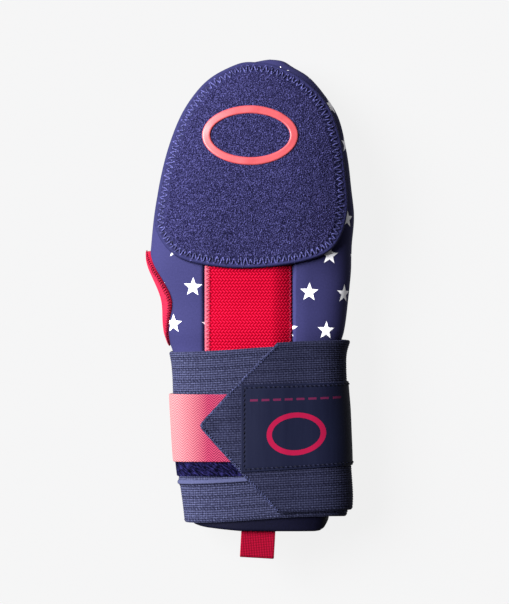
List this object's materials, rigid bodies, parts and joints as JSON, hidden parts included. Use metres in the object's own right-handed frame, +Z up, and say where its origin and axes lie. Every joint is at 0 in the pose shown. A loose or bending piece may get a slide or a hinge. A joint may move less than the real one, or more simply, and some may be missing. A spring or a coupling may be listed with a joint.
{
  "type": "sliding mitt",
  "caption": "Padded hand guard for base running, closed over the fingers, with a thumb hole, a wrap-round wrist strap and a pull tab.",
  "frame": {"origin": "middle of the underside's bounding box, on the surface that the mitt lies on", "axes": "+Y from the wrist hem to the fingertips, +Z up out of the surface through the padded side, +X to the side away from the thumb hole"},
  "size_m": [0.1196, 0.289, 0.0468],
  "materials": {
    "star_fabric": "smooth knitted face on foam, navy with white stars",
    "terry": "dense looped terry",
    "coral_rubber": "satin moulded silicone",
    "red_elastic": "knitted elastic with rows across",
    "red_binding": "folded stretch tape with overlocked edge",
    "strap_elastic": "ribbed woven elastic",
    "loop_pile": "dark loop pile",
    "pink_twill": "herringbone twill tape",
    "woven_label": "smooth woven satin",
    "red_webbing": "square-woven webbing"
  },
  "bodies": {
    "root": {"hand_shell": "star_fabric", "terry_panel": "terry", "badge_ring": "coral_rubber", "elastic_panel": "red_elastic", "thumb_binding": "red_binding", "strap_inner": "strap_elastic", "loop_strip": "loop_pile", "keeper_tape": "pink_twill", "strap_outer": "strap_elastic", "label_patch": "woven_label", "pull_tab": "red_webbing"}
  },
  "joints": []
}
